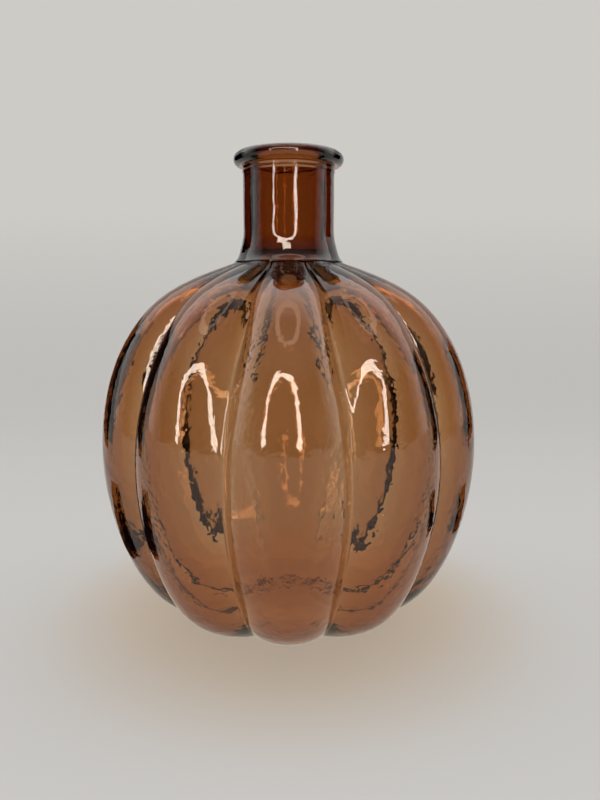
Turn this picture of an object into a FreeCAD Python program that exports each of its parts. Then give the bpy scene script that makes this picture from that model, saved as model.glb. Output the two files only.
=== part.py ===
import FreeCAD, Part
import math
import os

# A vase of one piece of blown glass: a hollow round body pinched into lobes like
# a gourd, a straight neck and a rolled rim. Lengths are millimetres. The origin
# is the middle of the foot, +Z runs up the neck and the crest of one lobe faces -Y.

os.makedirs("parts", exist_ok=True)

# Body, up to the line where the neck leaves it
LOBES = 10
BODY_RADIUS = 90.0
BODY_HEIGHT = 172.6
BODY_WALL = 3.4
FLOOR_THICKNESS = 7.0

# Outline of the body from the foot to the neck: a share of the body's height,
# then the radius of the lobe crests and of the grooves as shares of BODY_RADIUS
OUTLINE_SHARES = (
    (0.00, 0.385, 0.345),
    (0.03, 0.595, 0.525),
    (0.08, 0.735, 0.640),
    (0.16, 0.845, 0.738),
    (0.30, 0.948, 0.848),
    (0.50, 1.000, 0.902),
    (0.68, 0.954, 0.824),
    (0.82, 0.832, 0.640),
    (0.92, 0.640, 0.440),
    (1.00, 0.284, 0.280),
)

# Roundness of a groove's bottom as a share of half a lobe, 0 for a sharp crease.
# The same grooves are shallower and rounder inside.
OUTER_GROOVE_SOFTNESS = 0.10
INNER_GROOVE_SOFTNESS = 0.30
INNER_GROOVE_SHARE = 0.85

# Places of a section curve's points across one lobe, closer together by the
# grooves: shares of the lobe's width, from its middle
POINT_SHARES = (-0.50, -0.46, -0.38, -0.20, 0.0, 0.20, 0.38, 0.46, 0.50)

# Push-up under the foot
PUSH_UP_RADIUS = 27.0
PUSH_UP_DEPTH = 3.6

# Neck: its foot flares into the body, and fine rings run round it below the rim
NECK_RADIUS = 21.6
NECK_FOOT_RADIUS = 26.3
NECK_FLARE_HEIGHT = 14.0
NECK_SINK = 4.0
BORE_RADIUS = 15.6
NECK_RINGS = 2
RING_PITCH = 1.9
RING_HEIGHT = 0.3

# Top of the hollow as a share of the bore, so that the bore breaks through it
CAVITY_TOP_SHARE = 0.8

# Rim: a bead rolled outwards, with a rounded lip into the bore
VASE_HEIGHT = 222.8
RIM_RADIUS = 26.0
RIM_THICKNESS = 5.8
RIM_TOP_WIDTH = 4.2
LIP_ROUNDING = 2.4

FULL_TURN = 2 * math.pi
HALF = 0.5


def lobe_radius(turn, crest, groove, softness):
    """Radius at an angle from the crest: a round lobe that ends in a soft groove."""
    half_lobe = FULL_TURN / LOBES * HALF
    blur = softness * half_lobe
    from_groove = math.hypot(half_lobe - abs(turn), blur) - blur
    angle = half_lobe * (1 - from_groove / (math.hypot(half_lobe, blur) - blur))
    lobe_middle = (crest**2 - groove**2) / (crest - groove * math.cos(half_lobe)) * HALF
    lobe_size = crest - lobe_middle
    return lobe_middle * math.cos(angle) + math.sqrt(
        lobe_size**2 - (lobe_middle * math.sin(angle)) ** 2
    )


def lobed_ring(height, crest, groove, softness):
    """Closed wire at one height: one curve a lobe, meeting smoothly in the grooves."""
    curves = []
    for lobe in range(LOBES):
        points = []
        for share in POINT_SHARES:
            turn = FULL_TURN * (lobe + share) / LOBES
            radius = lobe_radius(FULL_TURN * share / LOBES, crest, groove, softness)
            points.append(
                FreeCAD.Vector(radius * math.sin(turn), -radius * math.cos(turn), height)
            )
        curve = Part.BSplineCurve()
        curve.interpolate(
            Points=points,
            Parameters=POINT_SHARES,
            InitialTangent=along_groove(lobe - HALF, groove),
            FinalTangent=along_groove(lobe + HALF, groove),
            Scale=False,
        )
        curves.append(curve.toShape())
    return Part.Wire(curves)


def along_groove(lobe, radius):
    """Speed of a section curve as it crosses a groove, square to the radius."""
    turn = FULL_TURN * lobe / LOBES
    speed = radius * FULL_TURN / LOBES
    return FreeCAD.Vector(speed * math.cos(turn), speed * math.sin(turn), 0)


def lofted(rings):
    return Part.makeLoft(rings, True, False)


def outer_body():
    rings = []
    for height, crest, groove in OUTLINE_SHARES:
        rings.append(
            lobed_ring(
                height * BODY_HEIGHT,
                crest * BODY_RADIUS,
                groove * BODY_RADIUS,
                OUTER_GROOVE_SOFTNESS,
            )
        )
    return lofted(rings)


def cavity():
    """Hollow of the body: the outline again, smaller, closing in to the bore."""
    radius_inside = BODY_RADIUS - BODY_WALL
    height_inside = BODY_HEIGHT - BODY_WALL - FLOOR_THICKNESS
    rings = []
    for height, crest, groove in OUTLINE_SHARES[:-1]:
        dip = (crest - groove) * INNER_GROOVE_SHARE
        rings.append(
            lobed_ring(
                FLOOR_THICKNESS + height * height_inside,
                crest * radius_inside,
                (crest - dip) * radius_inside,
                INNER_GROOVE_SOFTNESS,
            )
        )
    top_radius = BORE_RADIUS * CAVITY_TOP_SHARE
    top_height = FLOOR_THICKNESS + height_inside
    rings.append(lobed_ring(top_height, top_radius, top_radius, INNER_GROOVE_SOFTNESS))
    return lofted(rings)


def arc(start, middle, end):
    return Part.Arc(start, middle, end).toShape()


def line(start, end):
    return Part.LineSegment(start, end).toShape()


def neck_and_rim():
    """The neck, its rings and the rim as one turned solid, bored later."""

    def at(radius, height):
        return FreeCAD.Vector(radius, 0, height)

    rim_foot = VASE_HEIGHT - RIM_THICKNESS
    rings_foot = rim_foot - NECK_RINGS * RING_PITCH
    flare_top = BODY_HEIGHT + NECK_FLARE_HEIGHT
    flare_middle = at(
        NECK_RADIUS + (NECK_FOOT_RADIUS - NECK_RADIUS) * HALF**2,
        BODY_HEIGHT + NECK_FLARE_HEIGHT * HALF,
    )
    edges = [
        line(at(0, BODY_HEIGHT - NECK_SINK), at(NECK_FOOT_RADIUS, BODY_HEIGHT - NECK_SINK)),
        line(at(NECK_FOOT_RADIUS, BODY_HEIGHT - NECK_SINK), at(NECK_FOOT_RADIUS, BODY_HEIGHT)),
        arc(at(NECK_FOOT_RADIUS, BODY_HEIGHT), flare_middle, at(NECK_RADIUS, flare_top)),
        line(at(NECK_RADIUS, flare_top), at(NECK_RADIUS, rings_foot)),
    ]
    for ring in range(NECK_RINGS):
        foot = rings_foot + ring * RING_PITCH
        crown = at(NECK_RADIUS + RING_HEIGHT, foot + RING_PITCH * HALF)
        edges.append(arc(at(NECK_RADIUS, foot), crown, at(NECK_RADIUS, foot + RING_PITCH)))
    top_edge = at(RIM_RADIUS - RIM_THICKNESS * HALF, VASE_HEIGHT)
    lip_edge = at(RIM_RADIUS - RIM_THICKNESS * HALF - RIM_TOP_WIDTH, VASE_HEIGHT)
    bead_side = at(RIM_RADIUS, VASE_HEIGHT - RIM_THICKNESS * HALF)
    edges.append(arc(at(NECK_RADIUS, rim_foot), bead_side, top_edge))
    edges.append(line(top_edge, lip_edge))
    edges.append(line(lip_edge, at(0, VASE_HEIGHT)))
    edges.append(line(at(0, VASE_HEIGHT), at(0, BODY_HEIGHT - NECK_SINK)))
    profile = Part.Face(Part.Wire(edges))
    return profile.revolve(FreeCAD.Vector(), FreeCAD.Vector(0, 0, 1), math.degrees(FULL_TURN))


def bore():
    """Straight hole of the neck, opening out over a rounded lip at the rim."""
    foot = BODY_HEIGHT - BODY_WALL - NECK_SINK
    hole = Part.makeCylinder(BORE_RADIUS, VASE_HEIGHT - foot, FreeCAD.Vector(0, 0, foot))
    slant = LIP_ROUNDING * (1 - math.sqrt(HALF))

    def at(radius, height):
        return FreeCAD.Vector(BORE_RADIUS + radius, 0, VASE_HEIGHT + height)

    rounding = Part.Wire(
        [
            arc(at(0, -LIP_ROUNDING), at(slant, -slant), at(LIP_ROUNDING, 0)),
            line(at(LIP_ROUNDING, 0), at(0, 0)),
            line(at(0, 0), at(0, -LIP_ROUNDING)),
        ]
    )
    mouth = Part.Face(rounding).revolve(
        FreeCAD.Vector(), FreeCAD.Vector(0, 0, 1), math.degrees(FULL_TURN)
    )
    return hole.fuse(mouth)


def push_up():
    """Shallow round dish pressed into the foot from below."""
    ball_radius = (PUSH_UP_RADIUS**2 + PUSH_UP_DEPTH**2) / PUSH_UP_DEPTH * HALF
    return Part.makeSphere(ball_radius, FreeCAD.Vector(0, 0, PUSH_UP_DEPTH - ball_radius))


def glass_vase():
    outside = outer_body().fuse(neck_and_rim())
    inside = cavity().fuse(bore())
    return outside.cut(inside).cut(push_up())


PARTS = {"glass_vase": glass_vase()}

for name, shape in PARTS.items():
    shape.exportStep("parts/" + name + ".step")
    print(name, shape.ShapeType, len(shape.Solids), shape.isValid(), round(shape.Volume))
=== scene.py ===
import math

import bpy
import numpy as np
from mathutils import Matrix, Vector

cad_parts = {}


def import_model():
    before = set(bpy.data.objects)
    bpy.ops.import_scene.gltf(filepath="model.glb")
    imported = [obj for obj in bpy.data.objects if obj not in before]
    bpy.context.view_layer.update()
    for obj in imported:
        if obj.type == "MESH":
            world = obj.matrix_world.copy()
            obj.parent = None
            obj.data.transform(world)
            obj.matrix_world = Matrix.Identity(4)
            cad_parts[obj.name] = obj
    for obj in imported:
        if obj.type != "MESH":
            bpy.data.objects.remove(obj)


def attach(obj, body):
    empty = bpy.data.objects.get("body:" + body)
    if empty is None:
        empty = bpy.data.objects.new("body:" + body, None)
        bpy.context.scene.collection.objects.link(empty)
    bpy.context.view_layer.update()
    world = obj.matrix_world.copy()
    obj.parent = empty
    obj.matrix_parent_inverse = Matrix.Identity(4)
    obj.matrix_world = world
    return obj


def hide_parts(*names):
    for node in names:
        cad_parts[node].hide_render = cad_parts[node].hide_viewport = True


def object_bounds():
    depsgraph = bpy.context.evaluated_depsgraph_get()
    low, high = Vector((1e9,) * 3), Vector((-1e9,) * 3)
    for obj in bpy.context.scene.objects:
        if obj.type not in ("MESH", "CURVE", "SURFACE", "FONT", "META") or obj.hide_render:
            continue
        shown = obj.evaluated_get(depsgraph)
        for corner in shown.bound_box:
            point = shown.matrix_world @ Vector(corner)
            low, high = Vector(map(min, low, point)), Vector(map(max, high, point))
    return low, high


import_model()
CAD_LOW, CAD_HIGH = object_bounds()

# A vase of one piece of amber glass: a round body pinched into lobes, a straight
# neck and a rolled rim. Lengths are metres. The origin is the middle of the foot,
# +Z runs up the neck and the crest of one lobe faces -Y.
MM = 0.001
TURN = 2 * math.pi
HALF = 0.5

# Body. An outline row is a share of the body's height, then the radius of the
# lobe crests and of the grooves as shares of BODY_RADIUS.
LOBES = 10
BODY_RADIUS = 90.0 * MM
BODY_HEIGHT = 172.6 * MM
BODY_WALL = 3.4 * MM
FLOOR_THICKNESS = 3.4 * MM
OUTLINE_SHARES = (
    (0.00, 0.385, 0.345),
    (0.03, 0.595, 0.525),
    (0.08, 0.735, 0.640),
    (0.16, 0.845, 0.738),
    (0.30, 0.948, 0.848),
    (0.50, 1.000, 0.902),
    (0.68, 0.954, 0.824),
    (0.82, 0.832, 0.640),
    (0.92, 0.640, 0.440),
    (1.00, 0.284, 0.280),
)
OUTER_SOFTNESS = 0.025
INNER_SOFTNESS = 0.12
INNER_GROOVE_SHARE = 0.85
PUSH_UP_RADIUS = 27.0 * MM
PUSH_UP_DEPTH = 3.6 * MM

# Neck. A flare row is a share of the flare's height, then the share of its
# widening that is left there.
NECK_RADIUS = 21.6 * MM
NECK_FOOT_RADIUS = 26.3 * MM
NECK_FLARE_HEIGHT = 14.0 * MM
FLARE_SHARES = (
    (0.0, 1.0),
    (0.08, 0.78),
    (0.2, 0.56),
    (0.4, 0.36),
    (0.6, 0.20),
    (0.8, 0.07),
    (1.0, 0.0),
)
BORE_RADIUS = 15.6 * MM
NECK_RINGS = 2
RING_PITCH = 1.9 * MM
RING_HEIGHT = 0.3 * MM

# Rim
VASE_HEIGHT = CAD_HIGH.z
RIM_RADIUS = 26.0 * MM
RIM_THICKNESS = 5.8 * MM
LIP_ROUNDING = 2.4 * MM

# The drawn glass is this share of the built width, so that it stays inside it
DRAWN_SHARE = 0.9955

# Fineness of the glass mesh
COLUMNS_PER_LOBE = 34
GROOVE_CROWDING = 0.85
ROW_STEP = 1.25 * MM
FINE_STEP = ROW_STEP * HALF
FOOT_ROWS = 24
ROWS_PER_RING = 10
LEAST_DIP = 0.01 * MM

# Camera, fitted to the photograph
CAMERA_DISTANCE = 333.3 * MM
CAMERA_HEIGHT = 155.8 * MM
CAMERA_TILT = math.radians(8.49)
CAMERA_TURN = math.radians(0.92)
CAMERA_AZIMUTH = math.radians(0.45)
CAMERA_NEAREST = 10.0 * MM
FOCAL_PIXELS = 681.8
FRAME_HEIGHT_PIXELS = 800
SENSOR_LONG_SIDE = 36.0

# Glass. The ripple is the uneven skin of blown glass.
GLASS_IOR = 1.5
ABSORPTION_DENSITY = 450.0
ABSORPTION_COLOUR = (0.685, 0.395, 0.035, 1)
RIPPLE_SCALE = 170.0
RIPPLE_STRENGTH = 0.35
RIPPLE_DEPTH = 0.5 * MM

# Paper floor that curves up into a backdrop. Round the vase its colour holds a
# painted warm glow, standing in for light through the amber glass, and its own
# paleness shows more on the backdrop than on the floor.
FLOOR_COLOUR = (0.66, 0.655, 0.66, 1)
# The warm colours are a painted glow of light through the amber glass, full within the near distance
# from the vase's axis and gone beyond the far one
PAINTED_GLOW_COLOUR = (0.56, 0.40, 0.25, 1)
PAPER_SEEN = (0.650, 0.632, 0.600, 1)
PAINTED_GLOW_SEEN = (0.66, 0.56, 0.45, 1)
PAINTED_GLOW_NEAR, PAINTED_GLOW_FAR = 0.05, 0.14
FLOOR_SEEN_SHARE, BACKDROP_SEEN_SHARE = 0.60, 0.92
BACKDROP_SEEN_HEIGHT = 0.3
PAPER_ROUGHNESS = 0.9
PAPER_SPECULAR = 0.1
BACKDROP_DISTANCE = 0.9
STAGE_HALF_WIDTH = 5.0
FLOOR_REACH = 5.0
STAGE_HEIGHT = 1.1
SWEEP_RADIUS = 0.5
SWEEP_STEPS = 24

# Bright arch round and above the camera, seen as a reflection in each lobe
ARCH_PLANE = -0.70
ARCH_LEFT, ARCH_RIGHT = -0.57, 0.26
ARCH_TOP, ARCH_FOOT = 0.68, 0.12
ARCH_CROWN = 0.27
ARCH_WIDTH = 0.085
ARCH_STEPS = 24
ARCH_COLOUR = (1.0, 0.84, 0.70, 1)
ARCH_STRENGTH = 17.0

# Faint ring overhead, seen on the shoulder of each lobe
RING_MIDDLE = (0.0, -0.32, 1.2)
RING_INNER, RING_OUTER = 0.30, 0.45
RING_STEPS = 48
RING_STRENGTH = 2.4

# Dark cards seen at the edges of the glass: the axis they are square to, their
# place on it, then their low and high corners on the other two axes
DARK = (0.004, 0.005, 0.006, 1)
DARK_STRENGTH = 1.0
DARK_CARDS = {
    "dark_left": ("X", -0.50, (0.15, 0.0), (0.74, 0.38)),
    "dark_right": ("X", 0.58, (0.18, 0.0), (0.50, 0.34)),
    "dark_floor_left": ("Z", 0.003, (-0.27, -0.03), (-0.11, 0.06)),
    "dark_floor_right": ("Z", 0.003, (0.14, 0.0), (0.26, 0.06)),
}

# Room: dark behind the camera, pale on the far side and fainter overhead. The
# ramps run over the up and far parts of a direction.
ROOM_DARK = (0.015, 0.015, 0.015, 1)
ROOM_PALE = (1.0, 0.985, 0.96, 1)
ROOM_STRENGTH = 1.9
CEILING_START, CEILING_END = 0.45, 0.75
CEILING_SHARE = 0.22
FAR_START, FAR_END = -0.35, 0.25


# Rows of the glass, each (height, crest radius, groove radius)
def natural_spline(points, step):
    """Smooth curve through the rows of points, sampled about step apart."""
    points = np.array(points, float)
    gaps = np.linalg.norm(np.diff(points, axis=0), axis=1)
    along = np.concatenate([[0], np.cumsum(gaps)])
    count = len(points)
    system = np.eye(count)
    right = np.zeros_like(points)
    for i in range(1, count - 1):
        before, after = gaps[i - 1], gaps[i]
        system[i, i - 1] = before
        system[i, i] = 2 * (before + after)
        system[i, i + 1] = after
        slope_before = (points[i] - points[i - 1]) / before
        slope_after = (points[i + 1] - points[i]) / after
        right[i] = 6 * (slope_after - slope_before)
    bend = np.linalg.solve(system, right)
    places = np.linspace(0, along[-1], max(int(along[-1] / step), 2))
    cell = np.clip(np.searchsorted(along, places) - 1, 0, count - 2)
    gap = gaps[cell][:, None]
    low = (along[cell + 1] - places)[:, None] / gap
    high = 1 - low
    straight = low * points[cell] + high * points[cell + 1]
    curved = (low**3 - low) * bend[cell] + (high**3 - high) * bend[cell + 1]
    return straight + curved * gap**2 / 6


def arc_rows(middle, radius, start, end):
    """Rows on an arc round a (radius, height) place; angles run from outwards to up."""
    count = max(int(abs(end - start) * radius / FINE_STEP), 3)
    rows = []
    for angle in np.linspace(start, end, count):
        across = middle[0] + radius * math.cos(angle)
        rows.append((middle[1] + radius * math.sin(angle), across, across))
    return rows


def straight_rows(start, end):
    """Rows on a straight line between two (height, radius) places, ends left out."""
    count = max(int(math.dist(start, end) / ROW_STEP), 2)
    rows = []
    for share in np.linspace(0, 1, count)[1:-1]:
        height = start[0] + (end[0] - start[0]) * share
        radius = start[1] + (end[1] - start[1]) * share
        rows.append((height, radius, radius))
    return rows


def three_point_rows(start, middle, end):
    """Rows on the arc through three (height, radius) places."""
    (y1, x1), (y2, x2), (y3, x3) = start, middle, end
    d = 2 * (x1 * (y2 - y3) + x2 * (y3 - y1) + x3 * (y1 - y2))
    s1, s2, s3 = x1**2 + y1**2, x2**2 + y2**2, x3**2 + y3**2
    cx = (s1 * (y2 - y3) + s2 * (y3 - y1) + s3 * (y1 - y2)) / d
    cy = (s1 * (x3 - x2) + s2 * (x1 - x3) + s3 * (x2 - x1)) / d
    angles = [math.atan2(y - cy, x - cx) for y, x in (start, middle, end)]
    for i in (1, 2):
        while angles[i] - angles[i - 1] > math.pi:
            angles[i] -= TURN
        while angles[i] - angles[i - 1] < -math.pi:
            angles[i] += TURN
    return arc_rows((cx, cy), math.hypot(x1 - cx, y1 - cy), angles[0], angles[2])


def foot_rows():
    """From the middle of the underside out over the push-up to the standing ring."""
    rows = []
    for share in np.linspace(0, 1, FOOT_ROWS)[1:]:
        height = PUSH_UP_DEPTH * (1 - share**2)
        rows.append((height, PUSH_UP_RADIUS * share, PUSH_UP_RADIUS * share))
    return rows


def outer_body_rows():
    places = []
    for height, crest, groove in OUTLINE_SHARES:
        places.append((height * BODY_HEIGHT, crest * BODY_RADIUS, groove * BODY_RADIUS))
    return natural_spline(places, ROW_STEP)


def flare_rows():
    places = []
    for height, width in FLARE_SHARES:
        radius = NECK_RADIUS + (NECK_FOOT_RADIUS - NECK_RADIUS) * width
        places.append((BODY_HEIGHT + NECK_FLARE_HEIGHT * height, radius, radius))
    return [tuple(row) for row in natural_spline(places, FINE_STEP)]


def ring_rows(foot):
    """Fine rings round the neck, as waves in its profile."""
    rows = []
    for place in np.linspace(0, NECK_RINGS, NECK_RINGS * ROWS_PER_RING, endpoint=False):
        radius = NECK_RADIUS + RING_HEIGHT * (1 - math.cos(TURN * place)) * HALF
        rows.append((foot + place * RING_PITCH, radius, radius))
    return rows


def rim_rows(foot):
    """The rolled bead, the flat top and the rounded lip into the bore."""
    bead_side = (VASE_HEIGHT - RIM_THICKNESS * HALF, RIM_RADIUS)
    top_edge = (VASE_HEIGHT, RIM_RADIUS - RIM_THICKNESS * HALF)
    lip_middle = (BORE_RADIUS + LIP_ROUNDING, VASE_HEIGHT - LIP_ROUNDING)
    rows = three_point_rows((foot, NECK_RADIUS), bead_side, top_edge)
    rows += straight_rows(top_edge, (VASE_HEIGHT, BORE_RADIUS + LIP_ROUNDING))
    rows += arc_rows(lip_middle, LIP_ROUNDING, math.pi * HALF, math.pi)
    return rows


def neck_rows():
    flare_top = BODY_HEIGHT + NECK_FLARE_HEIGHT
    rim_foot = VASE_HEIGHT - RIM_THICKNESS
    rings_foot = rim_foot - NECK_RINGS * RING_PITCH
    rows = flare_rows()
    rows += straight_rows((flare_top, NECK_RADIUS), (rings_foot, NECK_RADIUS))
    rows += ring_rows(rings_foot)
    rows += rim_rows(rim_foot)
    return rows


def cavity_rows():
    """From the bore's foot down the inside of the body to its floor."""
    radius_inside = BODY_RADIUS - BODY_WALL
    height_inside = BODY_HEIGHT - BODY_WALL - FLOOR_THICKNESS
    places = []
    for height, crest, groove in OUTLINE_SHARES[:-1]:
        inner_groove = crest - (crest - groove) * INNER_GROOVE_SHARE
        level = FLOOR_THICKNESS + height * height_inside
        places.append((level, crest * radius_inside, inner_groove * radius_inside))
    places.append((FLOOR_THICKNESS + height_inside, BORE_RADIUS, BORE_RADIUS))
    return natural_spline(places, ROW_STEP)[::-1]


def floor_rows(edge):
    """Floor inside the body, which rises over the push-up."""
    rows = []
    for share in np.linspace(1, 0, FOOT_ROWS)[1:-1]:
        crest = edge[1] * share
        rise = PUSH_UP_DEPTH * max(1 - (crest / PUSH_UP_RADIUS) ** 2, 0)
        rows.append((FLOOR_THICKNESS + rise, crest, edge[2] * share))
    return rows


def all_rows():
    """Every ring of the mesh, with its groove's softness, from foot to rim to floor."""
    outside = [*foot_rows(), *outer_body_rows(), *neck_rows()]
    cavity = cavity_rows()
    bore_top = (VASE_HEIGHT - LIP_ROUNDING, BORE_RADIUS)
    bore = straight_rows(bore_top, (cavity[0][0], BORE_RADIUS))
    inside = [*bore, *cavity, *floor_rows(cavity[-1])]
    rows = [(*row, OUTER_SOFTNESS) for row in outside]
    rows += [(*row, INNER_SOFTNESS) for row in inside]
    return np.array(rows)


# Glass mesh
def lobe_radius(turn, crest, groove, softness):
    """Radius at an angle round the axis: round lobes that meet in soft grooves."""
    half_lobe = TURN / LOBES * HALF
    blur = softness * half_lobe
    off_crest = np.abs((turn + half_lobe) % (2 * half_lobe) - half_lobe)
    from_groove = np.hypot(half_lobe - off_crest, blur) - blur
    angle = half_lobe * (1 - from_groove / (np.hypot(half_lobe, blur) - blur))
    round_ring = crest - groove < LEAST_DIP
    depth = np.where(round_ring, crest, crest - groove * math.cos(half_lobe))
    middle = np.where(round_ring, 0, (crest**2 - groove**2) / (2 * depth))
    size = crest - middle
    return middle * np.cos(angle) + np.sqrt(size**2 - (middle * np.sin(angle)) ** 2)


def column_turns():
    """Angles of the mesh columns, crowded together by the grooves."""
    even = np.linspace(-1, 1, COLUMNS_PER_LOBE, endpoint=False)
    crowded = even * (1 - GROOVE_CROWDING) + np.sin(even * math.pi * HALF) * GROOVE_CROWDING
    lobes = np.arange(LOBES)[:, None]
    return ((lobes + crowded * HALF) * TURN / LOBES).reshape(1, -1)


def ring_faces(rows, columns):
    """Four-sided faces between rings, and fans to the two middle points after them."""
    faces = []
    for row in range(rows - 1):
        for column in range(columns):
            a = row * columns + column
            b = row * columns + (column + 1) % columns
            faces.append((a, b, b + columns, a + columns))
    under, floor = rows * columns, rows * columns + 1
    last_ring = (rows - 1) * columns
    for column in range(columns):
        after = (column + 1) % columns
        faces.append((under, after, column))
        faces.append((floor, last_ring + column, last_ring + after))
    return faces


def glass_mesh():
    rows = all_rows()
    turn = column_turns()
    height, crest, groove, softness = (rows[:, i : i + 1] for i in range(4))
    radius = lobe_radius(turn, crest, groove, softness) * DRAWN_SHARE
    x, y, z = radius * np.sin(turn), -radius * np.cos(turn), height + 0 * turn
    rings = np.stack([x, y, z], axis=2).reshape(-1, 3)
    middles = [(0, 0, PUSH_UP_DEPTH), (0, 0, FLOOR_THICKNESS + PUSH_UP_DEPTH)]
    points = np.vstack([rings, middles])
    faces = ring_faces(len(rows), LOBES * COLUMNS_PER_LOBE)
    return smooth_mesh("glass_vase", points.tolist(), faces)


def smooth_mesh(name, points, faces):
    mesh = bpy.data.meshes.new(name)
    mesh.from_pydata(points, [], faces)
    mesh.validate()
    mesh.polygons.foreach_set("use_smooth", [True] * len(mesh.polygons))
    return mesh


def add_object(name, mesh, material):
    made = bpy.data.objects.new(name, mesh)
    bpy.context.collection.objects.link(made)
    mesh.materials.append(material)
    return made


# Materials
def empty_material(name):
    """A material and its node tree with nothing but the output."""
    material = bpy.data.materials.new(name)
    material.use_nodes = True
    tree = material.node_tree
    tree.nodes.clear()
    return material, tree, tree.nodes.new("ShaderNodeOutputMaterial")


def add_node(tree, kind, sockets=None, **settings):
    """A node with its settings made first, then the values of its named sockets."""
    made = tree.nodes.new("ShaderNode" + kind)
    for name, value in settings.items():
        setattr(made, name, value)
    for name, value in (sockets or {}).items():
        made.inputs[name].default_value = value
    return made


def join(tree, start, output, end, place):
    tree.links.new(start.outputs[output], end.inputs[place])


def amber_glass():
    material, tree, out = empty_material("amber_glass")
    sockets = {"Base Color": (1, 1, 1, 1), "Transmission Weight": 1, "IOR": GLASS_IOR, "Roughness": 0}
    shader = add_node(tree, "BsdfPrincipled", sockets)
    place = add_node(tree, "TexCoord")
    ripple = add_node(tree, "TexNoise", {"Scale": RIPPLE_SCALE})
    bump = add_node(tree, "Bump", {"Strength": RIPPLE_STRENGTH, "Distance": RIPPLE_DEPTH})
    sockets = {"Color": ABSORPTION_COLOUR, "Density": ABSORPTION_DENSITY}
    soak = add_node(tree, "VolumeAbsorption", sockets)
    join(tree, place, "Object", ripple, "Vector")
    join(tree, ripple, "Fac", bump, "Height")
    join(tree, bump, "Normal", shader, "Normal")
    join(tree, shader, "BSDF", out, "Surface")
    join(tree, soak, "Volume", out, "Volume")
    return material


def by_painted_glow(tree, painted_glow, plain, painted_tint):
    """A colour that turns from plain to a painted warm glow towards the vase."""
    made = add_node(tree, "Mix", data_type="RGBA")
    made.inputs["A"].default_value = plain
    made.inputs["B"].default_value = painted_tint
    join(tree, painted_glow, "Result", made, "Factor")
    return made


def paper_share(tree, place):
    """How much of the paper's own paleness a ray sees: all of it through or off glass."""
    height = add_node(tree, "SeparateXYZ")
    sockets = {
        "From Max": BACKDROP_SEEN_HEIGHT,
        "To Min": FLOOR_SEEN_SHARE,
        "To Max": BACKDROP_SEEN_SHARE,
    }
    direct = add_node(tree, "MapRange", sockets)
    path = add_node(tree, "LightPath")
    by_glass = add_node(tree, "Math", operation="MAXIMUM")
    by_eye = add_node(tree, "Math", operation="MULTIPLY")
    share = add_node(tree, "Math", operation="MAXIMUM")
    join(tree, place, "Object", height, "Vector")
    join(tree, height, "Z", direct, "Value")
    join(tree, path, "Is Transmission Ray", by_glass, 0)
    join(tree, path, "Is Glossy Ray", by_glass, 1)
    join(tree, path, "Is Camera Ray", by_eye, 0)
    join(tree, direct, "Result", by_eye, 1)
    join(tree, by_glass, "Value", share, 0)
    join(tree, by_eye, "Value", share, 1)
    return share


def pale_paper():
    """Paper that keeps the vase's shadow, shows at its own paleness through glass, and carries a
    painted warm glow round the vase.
    """
    material, tree, out = empty_material("pale_paper")
    sockets = {"Roughness": PAPER_ROUGHNESS, "Specular IOR Level": PAPER_SPECULAR}
    shader = add_node(tree, "BsdfPrincipled", sockets)
    place = add_node(tree, "TexCoord")
    # Painted warm glow round the vase's axis, mixed into both the lit and the seen paper colour
    off_middle = add_node(tree, "VectorMath", operation="LENGTH")
    sockets = {"From Min": PAINTED_GLOW_FAR, "From Max": PAINTED_GLOW_NEAR}
    painted_glow = add_node(tree, "MapRange", sockets, interpolation_type="SMOOTHSTEP")
    lit = by_painted_glow(tree, painted_glow, FLOOR_COLOUR, PAINTED_GLOW_COLOUR)
    seen = by_painted_glow(tree, painted_glow, PAPER_SEEN, PAINTED_GLOW_SEEN)
    glow = add_node(tree, "Emission")
    mixed = add_node(tree, "MixShader")
    join(tree, place, "Object", off_middle, 0)
    join(tree, off_middle, "Value", painted_glow, "Value")
    join(tree, lit, "Result", shader, "Base Color")
    join(tree, seen, "Result", glow, "Color")
    join(tree, paper_share(tree, place), "Value", mixed, "Fac")
    join(tree, shader, "BSDF", mixed, 1)
    join(tree, glow, "Emission", mixed, 2)
    join(tree, mixed, "Shader", out, "Surface")
    return material


def emitter(name, colour, strength):
    material, tree, out = empty_material(name)
    glow = add_node(tree, "Emission", {"Color": colour, "Strength": strength})
    join(tree, glow, "Emission", out, "Surface")
    return material


# Stage
def sweep():
    """Floor that curves up into a backdrop."""
    bend_start = BACKDROP_DISTANCE - SWEEP_RADIUS
    profile = [(-FLOOR_REACH, 0.0), (bend_start, 0.0)]
    for step in range(1, SWEEP_STEPS + 1):
        angle = math.pi * HALF * step / SWEEP_STEPS
        y = bend_start + SWEEP_RADIUS * math.sin(angle)
        z = SWEEP_RADIUS - SWEEP_RADIUS * math.cos(angle)
        profile.append((y, z))
    profile.append((BACKDROP_DISTANCE, STAGE_HEIGHT))
    points, faces = [], []
    for y, z in profile:
        points += [(-STAGE_HALF_WIDTH, y, z), (STAGE_HALF_WIDTH, y, z)]
    for i in range(len(profile) - 1):
        faces.append((2 * i, 2 * i + 1, 2 * i + 3, 2 * i + 2))
    add_object("sweep", smooth_mesh("sweep", points, faces), pale_paper())


def card(name, points, faces, colour, strength):
    """A stage surface that shows in the glass only."""
    mesh = bpy.data.meshes.new(name)
    mesh.from_pydata(points, [], faces)
    made = add_object(name, mesh, emitter(name, colour, strength))
    made.visible_camera = False
    made.visible_diffuse = False
    made.visible_shadow = False


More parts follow.
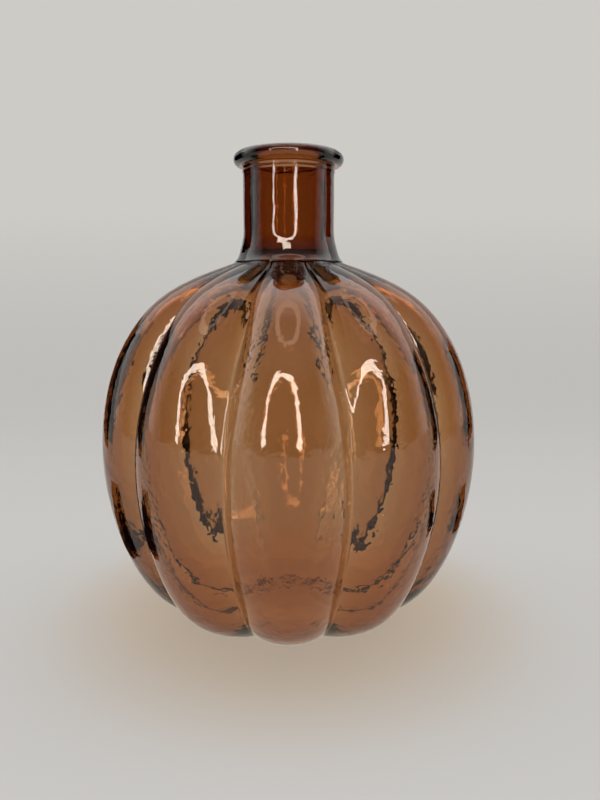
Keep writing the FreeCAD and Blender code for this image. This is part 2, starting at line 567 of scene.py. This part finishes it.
def arch_line():
    """Places (x, z) along the arch's outer edge, each with its direction inwards."""
    middle = (ARCH_LEFT + ARCH_RIGHT) * HALF
    half_width = (ARCH_RIGHT - ARCH_LEFT) * HALF
    spring = ARCH_TOP - ARCH_CROWN
    line = [(ARCH_LEFT, ARCH_FOOT, 1, 0), (ARCH_LEFT, spring, 1, 0)]
    for step in range(1, ARCH_STEPS):
        angle = math.pi * (1 - step / ARCH_STEPS)
        c, s = math.cos(angle), math.sin(angle)
        line.append((middle + half_width * c, spring + ARCH_CROWN * s, -c, -s))
    return line + [(ARCH_RIGHT, spring, -1, 0), (ARCH_RIGHT, ARCH_FOOT, -1, 0)]


def arch_light():
    line = arch_line()
    points, faces = [], []
    for x, z, in_x, in_z in line:
        points.append((x, ARCH_PLANE, z))
        points.append((x + in_x * ARCH_WIDTH, ARCH_PLANE, z + in_z * ARCH_WIDTH))
    for i in range(len(line) - 1):
        faces.append((2 * i, 2 * i + 1, 2 * i + 3, 2 * i + 2))
    card("arch_light", points, faces, ARCH_COLOUR, ARCH_STRENGTH)


def ceiling_ring():
    points, faces = [], []
    x, y, z = RING_MIDDLE
    for step in range(RING_STEPS):
        c, s = math.cos(TURN * step / RING_STEPS), math.sin(TURN * step / RING_STEPS)
        for size in (RING_INNER, RING_OUTER):
            points.append((x + size * c, y + size * s, z))
        after = (step + 1) % RING_STEPS
        faces.append((2 * step, 2 * step + 1, 2 * after + 1, 2 * after))
    card("ceiling_ring", points, faces, ARCH_COLOUR, RING_STRENGTH)


def dark_card(name, axis, plane, low, high):
    corners = [low, (high[0], low[1]), high, (low[0], high[1])]
    if axis == "X":
        points = [(plane, a, b) for a, b in corners]
    else:
        points = [(a, b, plane) for a, b in corners]
    card(name, points, [(0, 1, 2, 3)], DARK, DARK_STRENGTH)


def world():
    """Pale ceiling and far side, dark room behind the camera."""
    made = bpy.data.worlds.new("room")
    bpy.context.scene.world = made
    made.use_nodes = True
    tree = made.node_tree
    tree.nodes.clear()
    out = add_node(tree, "OutputWorld")
    place = add_node(tree, "TexCoord")
    split = add_node(tree, "SeparateXYZ")
    sockets = {"From Min": CEILING_START, "From Max": CEILING_END, "To Max": CEILING_SHARE}
    up = add_node(tree, "MapRange", sockets)
    far = add_node(tree, "MapRange", {"From Min": FAR_START, "From Max": FAR_END})
    both = add_node(tree, "Math", operation="MAXIMUM")
    ramp = add_node(tree, "Mix", data_type="RGBA")
    ramp.inputs["A"].default_value = ROOM_DARK
    ramp.inputs["B"].default_value = ROOM_PALE
    back = add_node(tree, "Background", {"Strength": ROOM_STRENGTH})
    pale = add_node(tree, "Background", {"Color": PAPER_SEEN})
    path = add_node(tree, "LightPath")
    seen = add_node(tree, "MixShader")
    join(tree, place, "Generated", split, "Vector")
    join(tree, split, "Z", up, "Value")
    join(tree, split, "Y", far, "Value")
    join(tree, up, "Result", both, 0)
    join(tree, far, "Result", both, 1)
    join(tree, both, "Value", ramp, "Factor")
    join(tree, ramp, "Result", back, "Color")
    join(tree, path, "Is Camera Ray", seen, "Fac")
    join(tree, back, "Background", seen, 1)
    join(tree, pale, "Background", seen, 2)
    join(tree, seen, "Shader", out, "Surface")


def camera():
    data = bpy.data.cameras.new("camera")
    data.lens = FOCAL_PIXELS / FRAME_HEIGHT_PIXELS * SENSOR_LONG_SIDE
    data.sensor_width = SENSOR_LONG_SIDE
    data.clip_start = CAMERA_NEAREST
    made = bpy.data.objects.new("camera", data)
    bpy.context.collection.objects.link(made)
    x = CAMERA_DISTANCE * math.sin(CAMERA_AZIMUTH)
    y = -CAMERA_DISTANCE * math.cos(CAMERA_AZIMUTH)
    made.location = (x, y, CAMERA_HEIGHT)
    made.rotation_euler = (math.pi * HALF - CAMERA_TILT, 0, CAMERA_AZIMUTH - CAMERA_TURN)
    bpy.context.scene.camera = made


vase = add_object("vase_glass", glass_mesh(), amber_glass())
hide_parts("glass_vase")
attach(vase, "root")

sweep()
arch_light()
for card_name, card_facts in DARK_CARDS.items():
    dark_card(card_name, *card_facts)
ceiling_ring()
world()
camera()
bpy.context.scene.view_settings.view_transform = "Standard"
